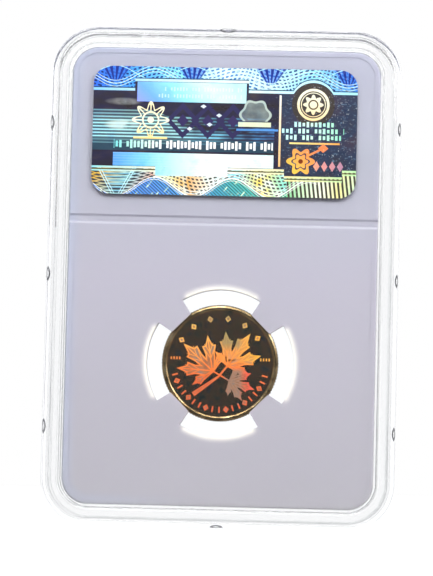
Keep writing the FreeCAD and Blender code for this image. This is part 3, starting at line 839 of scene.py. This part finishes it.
def make_world():
    """A light tent, plain white where it is seen straight or through the plastic.

    In mirrors, and as light on the slab, it is nearly black at the rear and white at the sides and front.
    """
    world = bpy.data.worlds.new("studio")
    world.use_nodes = True
    bpy.context.scene.world = world
    tent = Nodes(world.node_tree)
    way = tent.node("TexCoord").outputs["Generated"]
    through = Amount(tent, tent.node("SeparateXYZ", None, {0: way}).outputs["Y"])
    shade = tent.node("ValToRGB", {"stops": TENT}, {0: through * 0.5 + 0.5}).outputs[0]
    path = tent.node("LightPath").outputs
    seen = Amount(tent, path["Is Camera Ray"])
    bounced = Amount(tent, path["Glossy Depth"]) + Amount(tent, path["Diffuse Depth"])
    colour = tent.mix(bounced < 0.5, shade, WHITE)
    strength = seen * (1 - TENT_STRENGTH) + TENT_STRENGTH
    back = tent.node("Background", None, {0: colour, 1: strength}).outputs[0]
    tent.node("OutputWorld", None, {0: back})


FLOOR_RADIUS = 0.22
FLOOR_SIDES = 96


def make_floor(material):
    """The floor, which the clear plastic neither mirrors nor shows, so that no horizon crosses it."""
    bpy.ops.object.select_all(action="DESELECT")
    bpy.ops.mesh.primitive_circle_add(
        vertices=FLOOR_SIDES, radius=FLOOR_RADIUS, fill_type="NGON", location=(0, 0, 0)
    )
    floor = bpy.context.object
    floor.name = "floor"
    floor.data.materials.append(material)
    floor.visible_glossy = False
    floor.visible_transmission = False


# ---------------------------------------------------------------- relief, made flat on the bench


def draw(points):
    """A flat outline: one corner is pulled from point to point, and the loop is filled."""
    bpy.ops.object.select_all(action="DESELECT")
    bpy.ops.mesh.primitive_plane_add(size=MM, location=(points[0][0] * MM, points[0][1] * MM, 0))
    bpy.ops.object.mode_set(mode="EDIT")
    bpy.ops.mesh.select_mode(type="VERT")
    bpy.ops.mesh.merge(type="CENTER")
    for (x, y), (next_x, next_y) in zip(points, points[1:]):
        step = ((next_x - x) * MM, (next_y - y) * MM, 0)
        bpy.ops.mesh.extrude_region_move(TRANSFORM_OT_translate={"value": step})
    bpy.ops.mesh.select_all(action="SELECT")
    bpy.ops.mesh.edge_face_add()
    bpy.ops.mesh.normals_make_consistent(inside=False)
    bpy.ops.mesh.select_mode(type="FACE")
    return bpy.context.object


def pick(thing, test):
    """Opens a piece for editing with only the faces selected that pass a test."""
    bpy.ops.object.mode_set(mode="EDIT")
    bpy.ops.mesh.select_mode(type="FACE")
    bpy.ops.mesh.select_all(action="DESELECT")
    bpy.ops.object.mode_set(mode="OBJECT")
    for face in thing.data.polygons:
        face.select = test(face)
    bpy.ops.object.mode_set(mode="EDIT")


def raise_tile(thing, height, chamfer):
    """Gives the selected outline its height, with its top edges chamfered."""
    bpy.ops.mesh.extrude_region_move(TRANSFORM_OT_translate={"value": (0, 0, (height - chamfer) * MM)})
    bpy.ops.mesh.select_all(action="SELECT")
    bpy.ops.mesh.normals_make_consistent(inside=False)
    bpy.ops.object.mode_set(mode="OBJECT")
    pick(thing, lambda face: face.normal.z > 0.9)
    bpy.ops.mesh.inset(thickness=chamfer * MM, depth=chamfer * MM, use_even_offset=True)


def sink_middle(border, depth):
    """Sinks the top inside its border and gives it the tile's second finish."""
    bpy.ops.mesh.inset(thickness=border * MM, depth=0, use_even_offset=True)
    bpy.ops.mesh.inset(thickness=depth * MM, depth=-depth * MM, use_even_offset=True)
    bpy.context.object.active_material_index = 1
    bpy.ops.object.material_slot_assign()


CHAMFER = 0.03


def tile(points, finishes, height, border=None, sink=0.03):
    """A raised tile of an outline, with a sunk middle where it has a border."""
    made = draw(points)
    for finish in finishes:
        made.data.materials.append(finish)
    raise_tile(made, height, min(CHAMFER, height / 3))
    if border:
        sink_middle(border, sink)
    bpy.ops.mesh.select_all(action="SELECT")
    bpy.ops.mesh.normals_make_consistent(inside=False)
    bpy.ops.object.mode_set(mode="OBJECT")
    settle(made)
    return made


def settle(thing):
    """Puts a piece's place into its mesh."""
    thing.data.transform(thing.matrix_world)
    thing.matrix_world = Matrix.Identity(4)


def polar(radius, degrees, centre=(0, 0)):
    """A point at a radius and an angle about a centre."""
    angle = math.radians(degrees)
    return (centre[0] + radius * math.cos(angle), centre[1] + radius * math.sin(angle))


def copy_of(original, turn=0.0, at=(0, 0)):
    """A copy with a mesh of its own, turned about the origin and then moved."""
    made = original.copy()
    made.data = original.data.copy()
    bpy.context.scene.collection.objects.link(made)
    made.data.transform(Matrix.Rotation(math.radians(turn), 4, "Z"))
    made.data.transform(Matrix.Translation((at[0] * MM, at[1] * MM, 0)))
    return made


def gather(name, pieces):
    """Joins pieces into one."""
    bpy.ops.object.select_all(action="DESELECT")
    for piece in pieces:
        piece.select_set(True)
    bpy.context.view_layer.objects.active = pieces[0]
    bpy.ops.object.join()
    pieces[0].name = name
    pieces[0].data.name = name
    return pieces[0]


def stand_up(piece, height, turn=0):
    """Stands a piece of the coin up, `height` in front of its middle, and lets it ride on the slab."""
    lift = Matrix.Translation((0, 0, height * MM))
    way = Matrix.Rotation(math.radians(turn), 4, "Z") @ Matrix.Rotation(math.pi / 2, 4, "X")
    piece.data.transform(Matrix.Translation(COIN_MIDDLE) @ way @ lift)
    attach(piece, "root")


COIN_SIDES = 480
REED_STEP = 4  # sides to a reed and its notch
REED_HEIGHT = 0.1
EDGE_BEVEL = 0.12
EDGE_BEVEL_WIDTH = 0.06
# each step of the rim's crown, from the edge in: how wide it is and how much it rises
CROWN = ((0.12, 0.045), (0.12, 0.025), (0.14, 0.008), (0.14, -0.008), (0.12, -0.025), (0.1, -0.045))
CROWN_RISE = sum(rise for width, rise in CROWN if rise > 0)
RIM_WALL = 0.06  # width of the slope from the crown down to the field
SMOOTH_UNDER = math.radians(25)


def make_coin_blank(finishes):
    """The struck blank: a reeded disc with, on each face, a crowned rim round a sunk mirror field."""
    body = COIN_THICKNESS / 2 - CROWN_RISE - EDGE_BEVEL
    bpy.ops.object.select_all(action="DESELECT")
    bpy.ops.mesh.primitive_cylinder_add(
        vertices=COIN_SIDES, radius=(COIN_RADIUS - REED_HEIGHT) * MM, depth=2 * body * MM, location=(0, 0, 0)
    )
    blank = bpy.context.object
    for finish in finishes:
        blank.data.materials.append(finish)

    def on_reed(face):
        side = math.floor(math.atan2(face.center.y, face.center.x) / (2 * math.pi) * COIN_SIDES)
        return abs(face.normal.z) < 0.5 and side % REED_STEP < REED_STEP / 2

    pick(blank, on_reed)
    bpy.ops.mesh.extrude_region_shrink_fatten(TRANSFORM_OT_shrink_fatten={"value": REED_HEIGHT * MM})
    bpy.ops.object.mode_set(mode="OBJECT")
    crown_fall = -sum(rise for width, rise in CROWN if rise < 0)
    steps = ((EDGE_BEVEL_WIDTH, EDGE_BEVEL), *CROWN, (RIM_WALL, crown_fall - FIELD_DEPTH))
    for side in (-1, 1):
        pick(blank, lambda face: face.normal.z * side > 0.9 and face.center.length < body * MM * 1.01)
        for width, rise in steps:
            bpy.ops.mesh.inset(thickness=width * MM, depth=rise * MM)
        bpy.ops.object.mode_set(mode="OBJECT")

    def on_rim(face):
        return abs(face.center.z) > body * MM * 1.001 and face.center.xy.length > COIN_RADIUS / 2 * MM

    pick(blank, on_rim)
    blank.active_material_index = 1
    bpy.ops.object.material_slot_assign()
    bpy.ops.object.mode_set(mode="OBJECT")
    bpy.ops.object.shade_smooth_by_angle(angle=SMOOTH_UNDER)
    blank.name = "coin_blank"
    return blank


LOBE_TURNS = (-78, -39, 0, 39, 78)
LEAF_HEIGHT = 0.12
VEIN_HEIGHT = 0.16
STEM_HEIGHT = 0.15
LEGEND_RADIUS = 7.95


def leaf_outline(base, axis, length, shares):
    """A five-lobed leaf with a pair of teeth on each lobe, drawn round from its stem."""
    points = [polar(length * 0.05, axis - 150, base)]
    for turn, share in zip(LOBE_TURNS, shares):
        reach = length * share
        middle = axis + turn
        points += [
            polar(reach * 0.5, middle - 15, base),
            polar(reach * 0.74, middle - 15.5, base),
            polar(reach * 0.73, middle - 8, base),
            polar(reach, middle, base),
            polar(reach * 0.73, middle + 8, base),
            polar(reach * 0.74, middle + 15.5, base),
            polar(reach * 0.5, middle + 15, base),
        ]
        if turn != LOBE_TURNS[-1]:
            notch = min(0.36, 0.8 * min(share, shares[LOBE_TURNS.index(turn) + 1]))
            points.append(polar(length * notch, middle + 19.5, base))
    points.append(polar(length * 0.05, axis + 150, base))
    return points


def strip(start, end, start_width, end_width):
    """The outline of a straight tapered strip."""
    way = Vector((end[0] - start[0], end[1] - start[1])).normalized()
    side = Vector((-way.y, way.x))
    first = Vector(start)
    last = Vector(end)
    return [
        tuple(first - side * start_width / 2),
        tuple(last - side * end_width / 2),
        tuple(last + side * end_width / 2),
        tuple(first + side * start_width / 2),
    ]


def make_leaf(base, axis, length, shares, frosted, web, lift=0.0):
    """A leaf with a raised outline, a vein to the tip of each lobe and side veins to its teeth."""
    outline = leaf_outline(base, axis, length, shares)
    pieces = [tile(outline, (frosted, web), LEAF_HEIGHT + lift, border=0.15, sink=0.05)]
    height = VEIN_HEIGHT + lift
    for turn, share in zip(LOBE_TURNS, shares):
        reach = length * share
        tip = polar(reach * 0.92, axis + turn, base)
        pieces.append(tile(strip(base, tip, 0.26, 0.14), (frosted,), height))
        for out, spread, end in ((0.34, 12, 0.62), (0.52, 9, 0.78)):
            fork = polar(reach * out, axis + turn, base)
            for side in (-1, 1):
                tooth = polar(reach * end, axis + turn + side * spread, base)
                pieces.append(tile(strip(fork, tooth, 0.13, 0.1), (frosted,), height - 0.02))
    return pieces


def make_leaves(frosted, webs):
    """Three leaves whose stems cross, on the rear field of the coin."""
    crossing = (-0.25, -2.3)
    left = (-1.3, -1.3)
    right = (1.35, -0.3)
    low = (1.7, -3.0)
    pieces = make_leaf(left, 138, 6.8, (0.5, 0.9, 1.0, 0.9, 0.62), frosted, webs[0])
    pieces += make_leaf(low, -18, 4.5, (0.58, 0.88, 1.0, 0.88, 0.58), frosted, webs[2])
    pieces += make_leaf(right, 56, 6.6, (0.6, 0.9, 1.0, 0.88, 0.5), frosted, webs[1], lift=0.01)
    for start, end, start_width, end_width in (
        (right, crossing, 0.3, 0.36), (crossing, (-4.5, -5.4), 0.36, 0.8), (left, low, 0.26, 0.26),
    ):
        outline = strip(start, end, start_width, end_width)
        pieces.append(tile(outline, (frosted, webs[1]), STEM_HEIGHT, border=0.07))
    return gather("coin_leaves", pieces)


def make_marks(finishes):
    """Plain lozenges and bars in a ring round the leaves, where a legend would be."""
    lozenge = tile([(-0.52, 0), (0, -0.6), (0.52, 0), (0, 0.6)], finishes, 0.1, border=0.13, sink=0.04)
    bar = tile([(-0.13, -0.5), (0.13, -0.5), (0.13, 0.5), (-0.13, 0.5)], finishes, 0.1)
    dot = tile([(-0.11, -0.24), (0.11, -0.24), (0.11, 0.24), (-0.11, 0.24)], finishes, 0.08)
    pieces = []
    for index in range(6):
        angle = 150 - 23 * index
        pieces.append(copy_of(lozenge, angle - 90, polar(7.7, angle)))
    for index in range(19):
        angle = 195 + index * 150 / 18
        pieces.append(copy_of(lozenge if index % 3 == 1 else bar, angle - 90, polar(LEGEND_RADIUS, angle)))
    for side in (-1, 1):
        for index in range(4):
            pieces.append(copy_of(dot, 0, (side * 7.65 + (index - 1.5) * 0.48, 0.75)))
    for original in (lozenge, bar, dot):
        bpy.data.objects.remove(original)
    return gather("coin_marks", pieces)


def make_front_relief(finishes):
    """A plain rosette of twelve petals in a ring of beads, on the front field of the coin."""
    petal = tile([(0, 1.1), (0.62, 3.4), (0, 5.2), (-0.62, 3.4)], finishes, 0.14, border=0.14, sink=0.04)
    bead = tile([polar(0.26, 60 * corner) for corner in range(6)], finishes, 0.1)
    hub = tile([polar(0.95, 20 * corner) for corner in range(18)], finishes, 0.15, border=0.2, sink=0.04)
    pieces = [hub]
    pieces += [copy_of(petal, 30 * index) for index in range(12)]
    pieces += [copy_of(bead, 0, polar(7.9, 360 / 48 * index)) for index in range(48)]
    for original in (petal, bead):
        bpy.data.objects.remove(original)
    return gather("coin_rosette", pieces)


def dress(node, material):
    """Gives a CAD node a finish."""
    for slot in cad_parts[node].material_slots:
        slot.material = material


# ---------------------------------------------------------------- the slab

LAMP_DISTANCE = 0.9
LAMP_SIZE = 0.3
KEY_WAY = (-0.08, -1.0, 0.45)
KEY_POWER = 2.4
FILL_WAY = (0.52, -1.0, 0.38)
FILL_POWER = 1.8
WEBS = (("left_web", 0.85), ("right_web", 0.35), ("low_web", 0.9))

bpy.context.scene.view_settings.view_transform = "Standard"
bpy.context.scene.cycles.transmission_bounces = 20
bpy.context.scene.cycles.max_bounces = 24
make_camera()
make_world()
make_floor(floor_finish())
make_lamp("key", KEY_WAY, LAMP_DISTANCE, LAMP_SIZE, KEY_POWER)
make_lamp("fill", FILL_WAY, LAMP_DISTANCE, LAMP_SIZE, FILL_POWER)

clear = clear_plastic()
dress("rear_shell", clear)
dress("front_shell", clear)
dress("coin_core", core_plastic())
dress("hologram_label", foil())
dress("front_label", paper())

frosted = frosted_gold("frosted_gold")
left_web, right_web, low_web = (frosted_gold(name, dim) for name, dim in WEBS)
field_height = COIN_THICKNESS / 2 - FIELD_DEPTH
blank = make_coin_blank((coin_gold(), rim_gold()))
stand_up(blank, 0)
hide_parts("coin")
stand_up(make_leaves(frosted, (left_web, right_web, low_web)), field_height)
stand_up(make_marks((frosted, left_web)), field_height)
stand_up(make_front_relief((frosted, right_web)), field_height, turn=180)
